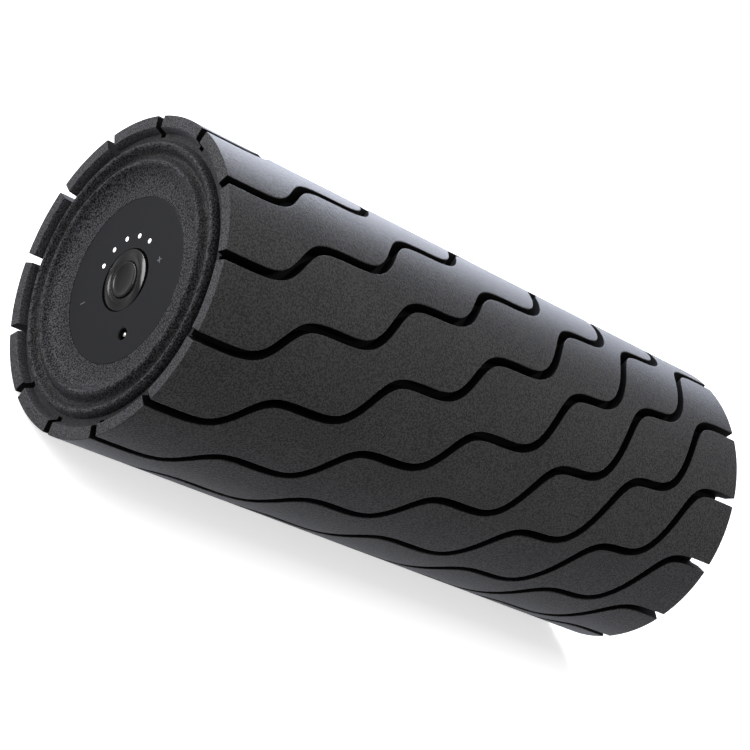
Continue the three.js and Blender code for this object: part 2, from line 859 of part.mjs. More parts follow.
// A round hub on the shaft with a heavy sector that hangs to one side
function eccentricWeight(place) {
  const shape = new THREE.Shape();
  const middle = -Math.PI / 2;
  shape.moveTo(0, 0);
  shape.absarc(0, 0, weightRadius, middle - weightSpan / 2, middle + weightSpan / 2, false);
  const from = place - halfLength;
  const to = from + weightThickness;
  return cut(
    plate(shape, from, to, arcFacets).add(disc(hubRadius, from, to, smallFacets)),
    hole(shaftRadius + seat, from - past, to + past),
  );
}

// A round lead along a smooth curve through its points
function lead(points) {
  const places = points.map((point) => new THREE.Vector3(...point));
  const curve = new THREE.CatmullRomCurve3(places, false, 'centripetal');
  const section = new THREE.Shape(spread(leadRadius, leadSides).map(([y, z]) => new THREE.Vector2(y, z)));
  const steps = Math.ceil(curve.getLength() / leadStep);
  return solid(new THREE.ExtrudeGeometry(section, { steps, extrudePath: curve }));
}

const plugSocketRear = boardDepth + boardThickness + plugSocketHeight + seat - halfLength;

function batteryLead() {
  const holder = batteryPlace - halfLength;
  const low = wireHoleRing - batteryLeadDrop;
  return lead([
    [plugSocketRear, 0, wireHoleRing],
    [plugSocketRear + leadStart, 0, wireHoleRing],
    [holder - leadStart, 0, low],
    [holder, 0, low],
  ]);
}

function motorLead() {
  const bend = plugSocketRear + leadStart;
  const side = motorPlace - halfLength + leadRadius * 2;
  const halfway = -(wireHoleRing + wireSlotRing) / 2;
  return lead([
    [plugSocketRear, 0, -wireHoleRing],
    [bend, 0, -wireHoleRing],
    [bend + leadBend / 2, 0, halfway],
    [bend + leadBend, 0, -wireSlotRing],
    [bend + leadBend + leadClear, 0, -wireSlotRing],
    [side - leadBend, 0, -wireSlotRing],
    [side - leadBend / 3, 0, -wireSlotRing],
    [side - leadRadius / 2, 0, -(motorRadius + wireSlotRing) / 2],
    [side, 0, -motorRadius - seat],
  ]);
}

// The assembly

const roller = new THREE.Group();
roller.rotation.x = restRoll;

const controlEnd = new THREE.Group();
controlEnd.position.x = -halfLength;
roller.add(controlEnd);

const farEnd = new THREE.Group();
farEnd.position.x = halfLength;
farEnd.rotation.z = Math.PI;
roller.add(farEnd);

// The rotor turns freely, so its weights hang straight down however the roller lies
const rotor = new THREE.Group();
rotor.rotation.x = -restRoll;
roller.add(rotor);

function place(group, name, piece, finish, position = [0, 0, 0], turn = 0) {
  const { vertProperties, triVerts } = piece.getMesh();
  const geometry = new THREE.BufferGeometry();
  geometry.setAttribute('position', new THREE.Float32BufferAttribute(vertProperties, 3));
  geometry.setIndex(Array.from(triVerts));
  const mesh = new THREE.Mesh(geometry, new THREE.MeshStandardMaterial(finish));
  mesh.name = name;
  mesh.position.set(...position);
  mesh.rotation.z = turn;
  group.add(mesh);
}

place(roller, 'tread_sleeve', treadSleeve(), finishes.tread);
place(roller, 'core_shell_upper', coreShell(1), finishes.shell);
place(roller, 'core_shell_lower', coreShell(-1), finishes.shell);

place(controlEnd, 'control_end_ring', endRing(), finishes.endFoam);
place(farEnd, 'far_end_ring', endRing(), finishes.endFoam);
place(controlEnd, 'control_end_frame', endFrame(potFloorDepth, true), finishes.shell);
place(farEnd, 'far_end_frame', endFrame(farFloorDepth, false), finishes.shell);
place(farEnd, 'far_end_cap', farCap(), finishes.panel);

place(controlEnd, 'control_panel', controlPanel(), finishes.panel);
place(controlEnd, 'power_button', powerButton(), finishes.button);
place(controlEnd, 'speed_rocker', speedRocker(), finishes.button);
place(controlEnd, 'light_guide', lightGuide(), finishes.light);
place(controlEnd, 'charging_socket', chargingSocket(), finishes.socket);
place(controlEnd, 'socket_pin', socketPin(), finishes.steel);
place(controlEnd, 'control_board', controlBoard(), finishes.board);
place(controlEnd, 'power_switch', tactSwitch(0), finishes.socket);
place(controlEnd, 'speed_up_switch', tactSwitch(-switchSpacing), finishes.socket);
place(controlEnd, 'speed_down_switch', tactSwitch(switchSpacing), finishes.socket);

const boardScrewHead = boardDepth + boardThickness + seat + smallScrew.headHeight;
spread(boardBossRing, boardScrewCount).forEach((at, i) => {
  const position = [boardScrewHead, ...at];
  place(controlEnd, `board_screw_${i + 1}`, screw(smallScrew), finishes.steel, position, Math.PI);
});

for (const [end, group] of [['control', controlEnd], ['far', farEnd]]) {
  spread(frameScrewRing, frameScrewCount).forEach((at, i) => {
    place(group, `${end}_frame_screw_${i + 1}`, screw(frameScrew), finishes.steel, [flangeDepth, ...at]);
  });
}

sideScrewPlaces.forEach((along, i) => {
  for (const [hand, word] of [[1, 'left'], [-1, 'right']]) {
    const piece = upright(screw(sideScrew), 0).mirror([0, 0, 1]);
    const head = sideScrewSeat + seat + sideScrew.headHeight;
    const position = [along - halfLength, hand * sideBossRing, head];
    place(roller, `core_screw_${word}_${i + 1}`, piece, finishes.steel, position);
  }
});

cellCentres().forEach((centre, i) => {
  place(roller, `battery_cell_${i + 1}`, batteryCell(centre), finishes.cell);
});
const holderStart = batteryPlace + seat - halfLength;
const holderEnd = holderStart + 2 * (holderThickness - holderPocket) + cellLength;
place(roller, 'battery_holder_near', batteryHolder(), finishes.holder, [holderStart, 0, 0]);
place(roller, 'battery_holder_far', batteryHolder().mirror([1, 0, 0]), finishes.holder, [holderEnd, 0, 0]);

place(roller, 'motor_can', motorCan(), finishes.can);
place(rotor, 'motor_shaft', motorShaft(), finishes.steel);
place(rotor, 'eccentric_weight_near', eccentricWeight(weightPlaces()[0]), finishes.steel);
place(rotor, 'eccentric_weight_far', eccentricWeight(weightPlaces()[1]), finishes.steel);

place(roller, 'battery_lead', batteryLead(), finishes.lead);
place(roller, 'motor_lead', motorLead(), finishes.lead);

export default roller;
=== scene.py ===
"""A vibrating foam roller that lies on a pale floor, its control end towards the camera."""

from math import cos, hypot, pi, radians, sin

import bmesh
import bpy
import numpy as np
from mathutils import Matrix, Vector


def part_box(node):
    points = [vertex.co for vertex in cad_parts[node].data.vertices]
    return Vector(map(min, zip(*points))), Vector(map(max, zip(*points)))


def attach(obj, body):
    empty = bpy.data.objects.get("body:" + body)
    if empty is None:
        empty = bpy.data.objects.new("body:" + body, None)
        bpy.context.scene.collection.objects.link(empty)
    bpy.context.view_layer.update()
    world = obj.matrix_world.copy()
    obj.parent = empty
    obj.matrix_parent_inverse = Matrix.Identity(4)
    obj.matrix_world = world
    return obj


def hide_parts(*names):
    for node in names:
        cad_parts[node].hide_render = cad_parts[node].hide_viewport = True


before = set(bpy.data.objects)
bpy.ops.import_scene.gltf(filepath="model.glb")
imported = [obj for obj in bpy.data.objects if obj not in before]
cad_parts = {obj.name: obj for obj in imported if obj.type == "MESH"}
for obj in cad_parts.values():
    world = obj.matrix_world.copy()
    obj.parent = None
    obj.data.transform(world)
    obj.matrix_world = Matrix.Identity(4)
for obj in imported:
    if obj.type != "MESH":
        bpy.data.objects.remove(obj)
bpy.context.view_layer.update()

MM = 0.001

# Corners nearer than this are one, and places nearer than this are level with each other
MERGE_DISTANCE = 0.001 * MM
LEVEL = MM / 100

# The roller, as the frame has it
HALF_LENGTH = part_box("tread_sleeve")[1].x
ROLLER_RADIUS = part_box("tread_sleeve")[1].z
PANEL_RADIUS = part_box("far_end_cap")[1].z
REST_ROLL = radians(-58.45)

# Grooves of the tread, which run level and then step down round the roller
FOAM_THICKNESS = 13 * MM
GROOVE_COUNT = 13
GROOVE_WIDTH = 3.8 * MM
GROOVE_DEPTH = 8 * MM
GROOVE_DRAFT = 0.3 * MM
GROOVE_START = radians(0.6)
STEP_PLACES = [37 * MM, 87 * MM, 134.5 * MM, 184 * MM, 228 * MM, 271 * MM]
STEP_DROPS = [radians(18.5), radians(23), radians(22), radians(28.5), radians(35), radians(34.5)]
STEP_SOFTNESS = 8 * MM
GROOVE_PITCH = 2 * pi / GROOVE_COUNT
BLOCK_EDGE = 0.35 * MM
BLOCK_SINK = 0.5 * MM

# End face of the foam: places in from the outside, and depths below the rim
RIM_WIDTH = 5 * MM
RIM_LEAN = 1.5 * MM
VALLEY_DEPTH = 3.5 * MM
INNER_VALLEY_DEPTH = 3 * MM
CREST_DEPTH = 0.3 * MM
CREST_WIDTH = 2 * MM
RING_RADIUS = ROLLER_RADIUS - 9.5 * MM
OUTER_CREST = ROLLER_RADIUS - 11.7 * MM
INNER_CREST = ROLLER_RADIUS - 19.1 * MM
DISH_DEPTH = 5 * MM
DISH_EDGE = PANEL_RADIUS + 2.8 * MM
RECESS_DEPTH = 16.3 * MM
RING_REAR = 13 * MM
SEAT = 0.1 * MM

# Panel, with its rounded edges and the gap round each small piece set into it
PANEL_THICKNESS = 2.4 * MM
PANEL_EDGE = 0.25 * MM
SMALL_EDGE = 0.12 * MM
SMALL_GAP = 0.05 * MM
ROCKER_HOLE = 12.9 * MM
ROCKER_HOLE_SIDEWAYS = 13.9 * MM

# Rocker: its pads drop from a crest to the button and to the outside. The crest is a share of the
# way out from the button. The spreads say how far round the ring the pads and the skirt behind
# them go.
ROCKER_RADIUS = 12.75 * MM
ROCKER_THICKNESS = 3.4 * MM
PAD_HEIGHT = 1.1 * MM
PAD_CREST = 0.42
PAD_INNER_DROP = 0.66 * MM
PAD_OUTER_DROP = 0.85 * MM
PAD_INNER_CURVE = 1.3
PAD_OUTER_CURVE = 1.5
PAD_SPREAD = 4
SIDE_SLIT = 1.5 * MM
SKIRT_GAP = 0.2 * MM
SKIRT_SPREAD = 2

# Button, whose dish is nearly flat over a share of its radius
BUTTON_RADIUS = 7.4 * MM
BUTTON_GAP = 0.3 * MM
BUTTON_PROUD = 0.85 * MM
BUTTON_DISH = 0.95 * MM
BUTTON_RIM = 0.8 * MM
BUTTON_FLAT = 0.62

# Lights and socket
LIGHT_COUNT = 5
LIGHT_RING = 18 * MM
LIGHT_RADIUS = 1 * MM
LIGHT_SPACING = radians(25)
LIGHT_PROUD = 0.1 * MM
LIGHT_SHOULDER = 0.2 * MM
SOCKET_RING = 23.4 * MM
SOCKET_BORE = 2.9 * MM
SOCKET_LINING = 0.35 * MM
SOCKET_SINK = 0.1 * MM
SOCKET_LENGTH = 8 * MM
SOCKET_BASE = 2 * MM
PIN_RADIUS = 1 * MM
PIN_RECESS = 0.7 * MM
PIN_NOSE = 0.6 * MM

# Marks printed on the panel
MARK_STROKE = 0.5 * MM
MARK_ARM = 1.1 * MM
MARK_HEIGHT = 0.1 * MM
PLUS_PLACE = (-20.3 * MM, 0.7 * MM)
MINUS_PLACE = (25.8 * MM, -0.3 * MM)

# How much painted shade darkens the valleys of the end faces, and how wide the foam's
# paler and darker clouds are
PAINTED_VALLEY_SHADE = 0.7
CLOUD_WIDTH = 20 * MM

# Studio
CAMERA_PLACE = (-0.62562, -0.67994, 0.29531)
CAMERA_TURN = (67.7813, -36.9858, -28.0387)
CAMERA_LENS = 109.627
CAMERA_SENSOR = 36
FLOOR_SIZE = 6
FLOOR_LIFT = 0.65
FLOOR_REFLECTED = 0.65
WORLD_FILL = 0.4

# How finely the round pieces are divided
FINE_SIDES = 192
CONTROL_SIDES = 96
HOLE_SIDES = 32
BLOCK_COLUMNS = 160
BLOCK_ROWS = 12
ROCKER_RINGS = 18


# Modelling

def only(piece):
    bpy.ops.object.select_all(action="DESELECT")
    piece.select_set(True)
    bpy.context.view_layer.objects.active = piece


def edit(piece):
    only(piece)
    bpy.ops.object.mode_set(mode="EDIT")


def leave_edit():
    bpy.ops.object.mode_set(mode="OBJECT")


def pick_faces(piece, test):
    bpy.ops.mesh.select_mode(type="FACE")
    bpy.ops.mesh.select_all(action="DESELECT")
    shape = bmesh.from_edit_mesh(piece.data)
    for face in shape.faces:
        face.select_set(test(face.calc_center_median(), face.normal))
    bmesh.update_edit_mesh(piece.data)


def pick_edges(piece, test):
    bpy.ops.mesh.select_mode(type="EDGE")
    bpy.ops.mesh.select_all(action="DESELECT")
    shape = bmesh.from_edit_mesh(piece.data)
    for edge in shape.edges:
        edge.select_set(test(edge))
    bmesh.update_edit_mesh(piece.data)


def extrude(step):
    """Draws the picked faces or edges out by a step."""
    bpy.ops.mesh.extrude_region_move(TRANSFORM_OT_translate={"value": step})


def new_shape(operator, **settings):
    bpy.ops.object.select_all(action="DESELECT")
    operator(**settings)
    return bpy.context.object


def named(piece, name):
    piece.name = name
    piece.data.name = name
    return piece


def apply_place(piece):
    only(piece)
    bpy.ops.object.transform_apply(location=True, rotation=True, scale=True)


def joined(pieces):
    only(pieces[0])
    for piece in pieces[1:]:
        piece.select_set(True)
    bpy.ops.object.join()
    return pieces[0]


def reshape(piece, rule):
    """Moves every corner of a piece by a rule that takes and gives arrays of x, y and z."""
    places = np.empty(len(piece.data.vertices) * 3, dtype=np.float32)
    piece.data.vertices.foreach_get("co", places)
    x, y, z = places.reshape(-1, 3).T
    piece.data.vertices.foreach_set("co", np.stack(rule(x, y, z), axis=1).ravel())
    piece.data.update()


def smooth(piece, degrees=40):
    only(piece)
    bpy.ops.object.shade_smooth_by_angle(angle=radians(degrees))


def finish_with(piece, kind, **settings):
    """Adds a modifier and applies it."""
    only(piece)
    modifier = piece.modifiers.new(kind, kind)
    for name, value in settings.items():
        setattr(modifier, name, value)
    bpy.ops.object.modifier_apply(modifier=modifier.name)


def soften(piece, width, segments=3, degrees=35):
    finish_with(
        piece, "BEVEL", width=width, segments=segments, limit_method="ANGLE",
        angle_limit=radians(degrees), use_clamp_overlap=True,
    )


def even_shading(piece, degrees=40):
    """Smooth shading whose normals follow the large faces, so that flat faces stay flat."""
    smooth(piece, degrees)
    finish_with(piece, "WEIGHTED_NORMAL", keep_sharp=True)


def cut_with(piece, cutter, operation="DIFFERENCE"):
    finish_with(piece, "BOOLEAN", object=cutter, operation=operation, solver="MANIFOLD")
    bpy.data.objects.remove(cutter)


def face_out(piece):
    edit(piece)
    bpy.ops.mesh.select_all(action="SELECT")
    bpy.ops.mesh.remove_doubles(threshold=MERGE_DISTANCE)
    bpy.ops.mesh.normals_make_consistent(inside=False)
    leave_edit()


def turned(name, profile, sides):
    """A circle drawn out along X through a profile of (radius, x). It closes on itself, or at the
    axis. A profile that starts on the axis may start in a cone, and it ends in a flat face."""
    closed = profile[0][0] > 0
    radius, x = profile[0] if closed else profile[1]
    piece = named(new_shape(
        bpy.ops.mesh.primitive_circle_add,
        vertices=sides, radius=radius, location=(x, 0, 0), rotation=(0, pi / 2, 0),
    ), name)
    apply_place(piece)
    edit(piece)
    bpy.ops.mesh.select_mode(type="EDGE")
    bpy.ops.mesh.select_all(action="SELECT")
    if not closed:
        bpy.ops.mesh.edge_face_add()
        if profile[0][1] != x:
            bpy.ops.mesh.poke()
            shape = bmesh.from_edit_mesh(piece.data)
            middle = min(shape.verts, key=lambda corner: hypot(corner.co.y, corner.co.z))
            middle.co.x = profile[0][1]
            bmesh.update_edit_mesh(piece.data)
        pick_edges(piece, lambda edge: edge.is_boundary)
    stops = profile[1:] + profile[:1] if closed else profile[2:-1]
    for next_radius, next_x in stops:
        extrude((next_x - x, 0, 0))
        grow = next_radius / radius
        if grow != 1:
            bpy.ops.transform.resize(value=(1, grow, grow), center_override=(next_x, 0, 0))
        radius, x = next_radius, next_x
    if not closed:
        bpy.ops.mesh.edge_face_add()
    leave_edit()
    face_out(piece)
    return piece


def bow(start, pull, end, steps):
    """Points along a curve that leaves start, is pulled towards a third point and meets end."""
    points = []
    for i in range(steps + 1):
        t = i / steps
        weights = ((1 - t) ** 2, 2 * t * (1 - t), t * t)
        points.append(tuple(
            sum(w * point[k] for w, point in zip(weights, (start, pull, end))) for k in (0, 1)
        ))
    return points


def at_control_end(piece):
    """Takes a piece drawn upright, with x as its depth, to its place in the control end."""
    piece.location = (-HALF_LENGTH, 0, 0)
    piece.rotation_euler = (REST_ROLL, 0, 0)
    apply_place(piece)
    return piece


def at_far_end(piece):
    """Takes a piece drawn in the same way to its place in the far end."""
    turn = Matrix.Rotation(REST_ROLL, 4, "X")
    place = Matrix.Translation((HALF_LENGTH, 0, 0))
    piece.matrix_world = turn @ place @ Matrix.Rotation(pi, 4, "Z")
    apply_place(piece)
    return piece


# Tread

def groove_run(x):
    """How far the grooves have stepped round at x, and how much wider they are round the roller."""
    angle = np.full_like(x, GROOVE_START)
    slope = np.zeros_like(x)
    for place, drop in zip(STEP_PLACES, STEP_DROPS):
        bend = np.tanh((x + HALF_LENGTH - place) / STEP_SOFTNESS)
        angle -= drop * (1 + bend) / 2
        slope -= drop * (1 - bend * bend) / (2 * STEP_SOFTNESS)
    return angle, np.hypot(1, ROLLER_RADIUS * slope)


def tread_block():
    """One raised block between two grooves: a flat strip with a foot, wrapped round the roller."""
    foot_end = HALF_LENGTH - VALLEY_DEPTH
    rim_floor = ROLLER_RADIUS - RIM_WIDTH - RIM_LEAN
    foot = ROLLER_RADIUS - (GROOVE_DEPTH + BLOCK_SINK)
    block = new_shape(
        bpy.ops.mesh.primitive_grid_add,
        x_subdivisions=BLOCK_COLUMNS, y_subdivisions=BLOCK_ROWS, size=1,
    )

    def place_underside(x, y, z):
        column = np.rint((x + 0.5) * BLOCK_COLUMNS)
        inner = (column - 1) / (BLOCK_COLUMNS - 2) * 2 - 1
        along = np.clip(inner, -1, 1) * foot_end
        at_end = (column == 0) | (column == BLOCK_COLUMNS)
        along = np.where(at_end, np.sign(x) * HALF_LENGTH, along)
        radius = np.where(at_end, rim_floor + RIM_LEAN, rim_floor)
        return along, y + 0.5, radius

    reshape(block, place_underside)
    edit(block)
    bpy.ops.mesh.select_all(action="SELECT")
    extrude((0, 0, 1))
    leave_edit()
    reshape(block, lambda x, y, z: (x, y, np.where(z > 0.5, ROLLER_RADIUS, z)))
    edit(block)
    pick_faces(block, lambda middle, normal: (
        middle.z < rim_floor + LEVEL and abs(middle.x) < foot_end
    ))
    extrude((0, 0, foot - rim_floor))
    leave_edit()

    def wrap(x, across, radius):
        angle, stretch = groove_run(x)
        draft = GROOVE_DRAFT * (ROLLER_RADIUS - radius) / GROOVE_DEPTH
        half = (GROOVE_WIDTH / 2 - draft) * stretch / ROLLER_RADIUS
        turn = angle + half + across * (GROOVE_PITCH - 2 * half)
        return x, radius * np.cos(turn), radius * np.sin(turn)

    reshape(block, wrap)
    face_out(block)
    edit(block)
    pick_edges(block, lambda edge: (
        edge.calc_face_angle(0) > radians(45)
        and all(hypot(corner.co.y, corner.co.z) > rim_floor + RIM_LEAN / 2 for corner in edge.verts)
    ))
    bpy.ops.mesh.bevel(offset=BLOCK_EDGE, segments=3, affect="EDGES", clamp_overlap=True)
    leave_edit()
    return block


def sleeve_wall():
    """The wall that carries the blocks: a cylinder hollowed from both ends and bored through."""
    floor_radius = ROLLER_RADIUS - GROOVE_DEPTH
    end = HALF_LENGTH - VALLEY_DEPTH
    wall = new_shape(
        bpy.ops.mesh.primitive_cylinder_add,
        vertices=FINE_SIDES, radius=floor_radius, depth=2 * end, rotation=(0, pi / 2, 0),
    )
    apply_place(wall)
    edit(wall)
    recess = RECESS_DEPTH - VALLEY_DEPTH
    for side in (-1, 1):
        pick_faces(wall, lambda middle, normal: normal.x * side > 0.9)
        bpy.ops.mesh.inset(thickness=floor_radius - RING_RADIUS)
        extrude((-side * recess, 0, 0))
        bpy.ops.mesh.inset(thickness=RING_RADIUS - (ROLLER_RADIUS - FOAM_THICKNESS))
    inner = end - recess
    pick_faces(wall, lambda middle, normal: (
        abs(abs(middle.x) - inner) < LEVEL and hypot(middle.y, middle.z) < MM
    ))
    bpy.ops.mesh.bridge_edge_loops()
    leave_edit()
    face_out(wall)
    return wall


def tread_sleeve():
    blocks = [tread_block()]
    for i in range(1, GROOVE_COUNT):
        copy = blocks[0].copy()
        copy.data = blocks[0].data.copy()
        copy.matrix_world = Matrix.Rotation(i * GROOVE_PITCH, 4, "X")
        bpy.context.collection.objects.link(copy)
        blocks.append(copy)
    tread = joined(blocks)
    apply_place(tread)
    sleeve = named(sleeve_wall(), "foam_tread")
    cut_with(sleeve, tread, "UNION")
    sleeve.rotation_euler = (REST_ROLL, 0, 0)
    apply_place(sleeve)
    face_out(sleeve)
    even_shading(sleeve, degrees=35)
    return sleeve


# End faces

def foam_ring(name):
    """A ring with a dish round the panel and two crests with a valley between them."""
    inner = PANEL_RADIUS + SEAT
    outer = RING_RADIUS - SEAT
    half = CREST_WIDTH / 2
    shoulder = CREST_DEPTH + half / 2
    middle = (INNER_CREST + OUTER_CREST) / 2

    def crest(radius):
        pull = 2 * CREST_DEPTH - shoulder
        return bow((radius - half, shoulder), (radius, pull), (radius + half, shoulder), steps=8)

    dish = bow(
        (DISH_EDGE, DISH_DEPTH),
        (INNER_CREST - half * 3, DISH_DEPTH),
        (INNER_CREST - half, shoulder),
        steps=16,
    )
    valley = bow(
        (INNER_CREST + half, shoulder),
        (middle, INNER_VALLEY_DEPTH * 2 - CREST_DEPTH),
        (OUTER_CREST - half, shoulder),
        steps=16,
    )
    profile = [(inner, DISH_DEPTH)] + dish
    profile += crest(INNER_CREST)[1:] + valley[1:] + crest(OUTER_CREST)[1:]
    profile += [(outer, VALLEY_DEPTH), (outer, RING_REAR), (inner, RING_REAR)]
    ring = turned(name, profile, FINE_SIDES)
    smooth(ring, degrees=50)
    return ring


def round_plate(name):
    panel = turned(name, [
        (0, DISH_DEPTH),
        (PANEL_RADIUS, DISH_DEPTH),
        (PANEL_RADIUS, DISH_DEPTH + PANEL_THICKNESS),
        (0, DISH_DEPTH + PANEL_THICKNESS),
    ], FINE_SIDES)
    soften(panel, PANEL_EDGE)
    return panel


def hole_cutter(radius, y, z, sides=HOLE_SIDES):
    cutter = new_shape(
        bpy.ops.mesh.primitive_cylinder_add,
        vertices=sides, radius=radius, depth=4 * PANEL_THICKNESS,
        location=(DISH_DEPTH + PANEL_THICKNESS / 2, y, z), rotation=(0, pi / 2, 0),
    )
    apply_place(cutter)
    return cutter


def light_places():
    first = pi / 2 - (LIGHT_COUNT - 1) / 2 * LIGHT_SPACING
    angles = [first + i * LIGHT_SPACING for i in range(LIGHT_COUNT)]
    return [(LIGHT_RING * cos(angle), LIGHT_RING * sin(angle)) for angle in angles]


def control_panel():
    panel = round_plate("control_face")
    rocker_hole = hole_cutter(ROCKER_HOLE, 0, 0, CONTROL_SIDES)
    rocker_hole.scale = (1, ROCKER_HOLE_SIDEWAYS / ROCKER_HOLE, 1)
    apply_place(rocker_hole)
    cut_with(panel, rocker_hole)
    cut_with(panel, hole_cutter(SOCKET_BORE, 0, -SOCKET_RING))
    for y, z in light_places():
        cut_with(panel, hole_cutter(LIGHT_RADIUS + SMALL_GAP, y, z))
    soften(panel, SMALL_EDGE, segments=2, degrees=60)
    even_shading(panel)
    return at_control_end(panel)


def speed_rocker():
    """A ring with a raised pad left and right, level with the panel above and below. Behind the
    pads it is wider, as a skirt that fills the oval hole in the panel."""
    inner = BUTTON_RADIUS + BUTTON_GAP
    under = DISH_DEPTH + ROCKER_THICKNESS
    width = ROCKER_RADIUS - inner
    tops = [(inner + width * i / ROCKER_RINGS, 0) for i in range(ROCKER_RINGS + 1)]
    rocker = turned("rocker_ring", tops + [(ROCKER_RADIUS, under), (inner, under)], CONTROL_SIDES)

    def raise_pads(x, y, z):
        radius = np.hypot(y, z)
        across = np.clip((radius - inner) / (ROCKER_RADIUS - inner), 0, 1)
        upright = z / radius
        sideways = 1 - upright ** PAD_SPREAD
        inwards = PAD_INNER_DROP * (1 - (across / PAD_CREST) ** PAD_INNER_CURVE)
        past_crest = np.maximum(across - PAD_CREST, 0) / (1 - PAD_CREST)
        outwards = PAD_OUTER_DROP * past_crest ** PAD_OUTER_CURVE
        swell = PAD_HEIGHT - np.where(across < PAD_CREST, inwards, outwards)
        top = DISH_DEPTH - swell * sideways
        in_front = x < under / 2
        wider = ROCKER_HOLE_SIDEWAYS - ROCKER_RADIUS
        edge = (wider - SIDE_SLIT) * sideways
        skirt = (wider - SKIRT_GAP) * (1 - upright ** SKIRT_SPREAD)
        stretch = 1 + np.where(in_front, edge, skirt) * across / radius
        return np.where(in_front, top, x), y * stretch, z * stretch

    reshape(rocker, raise_pads)
    soften(rocker, SMALL_EDGE, degrees=50)
    even_shading(rocker)
    return at_control_end(rocker)


def power_button():
    top = DISH_DEPTH - BUTTON_PROUD
    floor = top + BUTTON_DISH
    rear = DISH_DEPTH + PANEL_THICKNESS
    flat = BUTTON_RADIUS * BUTTON_FLAT
    dish = bow((0, floor), (flat, floor), (BUTTON_RADIUS - BUTTON_RIM, top), steps=14)
    side = bow(dish[-1], (BUTTON_RADIUS, top), (BUTTON_RADIUS, top + BUTTON_RIM), steps=6)
    profile = dish + side[1:] + [(BUTTON_RADIUS, rear), (0, rear)]
    button = turned("button_cap", profile, CONTROL_SIDES)
    smooth(button, degrees=50)
    return at_control_end(button)


def light_dots():
    top = DISH_DEPTH - LIGHT_PROUD
    shoulder = DISH_DEPTH + LIGHT_SHOULDER
    rear = DISH_DEPTH + PANEL_THICKNESS
    dome = bow((0, top), (LIGHT_RADIUS, top), (LIGHT_RADIUS, shoulder), steps=5)
    dots = []
    for y, z in light_places():
        dot = turned("light_dot", dome + [(LIGHT_RADIUS, rear), (0, rear)], HOLE_SIDES)
        dot.location = (0, y, z)
        apply_place(dot)
        dots.append(dot)
    lights = named(joined(dots), "light_dots")
    smooth(lights)
    return at_control_end(lights)


def charging_socket():
    front = DISH_DEPTH + SOCKET_SINK
    rear = DISH_DEPTH + SOCKET_LENGTH
    socket = turned("socket_barrel", [
        (SOCKET_BORE - SOCKET_LINING, front),
        (SOCKET_BORE - SMALL_GAP, front),
        (SOCKET_BORE - SMALL_GAP, rear),
        (PIN_RADIUS + SMALL_GAP, rear),
        (PIN_RADIUS + SMALL_GAP, rear - SOCKET_BASE),
        (SOCKET_BORE - SOCKET_LINING, rear - SOCKET_BASE),
    ], HOLE_SIDES * 2)
    socket.location = (0, 0, -SOCKET_RING)
    apply_place(socket)
    smooth(socket)
    return at_control_end(socket)


def socket_pin():
    tip = DISH_DEPTH + PIN_RECESS
    rear = DISH_DEPTH + SOCKET_LENGTH
    nose = bow((0, tip), (PIN_RADIUS, tip), (PIN_RADIUS, tip + PIN_NOSE), steps=6)
    pin = turned("centre_pin", nose + [(PIN_RADIUS, rear), (0, rear)], HOLE_SIDES)
    pin.location = (0, 0, -SOCKET_RING)
    apply_place(pin)
    smooth(pin)
    return at_control_end(pin)


def far_cap():
    cap = round_plate("end_cap")
    smooth(cap)
    return at_far_end(cap)


# Printed marks beside the rocker

def bar_mark(name, y, z, arms):
    """A thin printed square on the panel, with an arm in each of the directions given."""
    mark = named(new_shape(
        bpy.ops.mesh.primitive_cube_add, size=MARK_STROKE, location=(0, 0, 0),
    ), name)
    for side in arms:
        edit(mark)
        pick_faces(mark, lambda middle, normal: (
            normal.y * side[0] + normal.z * side[1] > 0.9
            and hypot(middle.y, middle.z) < MARK_STROKE
        ))
        extrude((0, side[0] * MARK_ARM, side[1] * MARK_ARM))
        leave_edit()
    only(mark)
    bpy.ops.transform.resize(value=(MARK_HEIGHT / MARK_STROKE, 1, 1))
    mark.location = (DISH_DEPTH, y, z)
    apply_place(mark)
    soften(mark, MARK_HEIGHT / 4, segments=2)
    smooth(mark)
    return at_control_end(mark)


# Materials

def linear(colour):
    """An sRGB hex colour in the linear numbers that Blender takes."""
    parts = [int(colour[i:i + 2], 16) / 255 for i in (1, 3, 5)]
    return [c / 12.92 if c <= 0.04045 else ((c + 0.055) / 1.055) ** 2.4 for c in parts] + [1]


def add(material, kind, inputs=None, **settings):
    """Adds a node with its settings, and gives each input its value or the socket that feeds it."""
    node = material.node_tree.nodes.new("ShaderNode" + kind)
    for name, value in settings.items():
        setattr(node, name, value)
    for name, value in (inputs or {}).items():
        if isinstance(value, bpy.types.NodeSocket):
            material.node_tree.links.new(value, node.inputs[name])
        else:
            node.inputs[name].default_value = value
    return node


def new_material(name):
    material = bpy.data.materials.new(name)
    material.use_nodes = True
    material.node_tree.nodes.clear()
    return material


def show(material, shader):
    output = add(material, "OutputMaterial")
    material.node_tree.links.new(shader.outputs[0], output.inputs["Surface"])
    return material


def surface(material, inputs):
    return show(material, add(material, "BsdfPrincipled", inputs))


def object_place(material):
    return add(material, "TexCoord").outputs["Object"]


def noise(material, place, width, detail=2, **inputs):
    """Soft noise from 0 to 1 whose lumps are about as wide as width."""
    return add(material, "TexNoise", {
        "Vector": place, "Scale": 1 / width, "Detail": detail, **inputs,
    }).outputs[0]


def mapped(material, value, low, high, start=0, end=1):
    """Takes a value of start to low and one of end to high, and none further than these."""
    return add(material, "MapRange", {
        "Value": value, "From Min": start, "From Max": end, "To Min": low, "To Max": high,
    }).outputs[0]


def tone(material, share, dark, light):
    """A colour that goes from dark to light with a share; each is a hex colour or a socket."""
    dark, light = [linear(c) if isinstance(c, str) else c for c in (dark, light)]
    return add(material, "Mix", {0: share, 6: dark, 7: light}, data_type="RGBA").outputs[2]


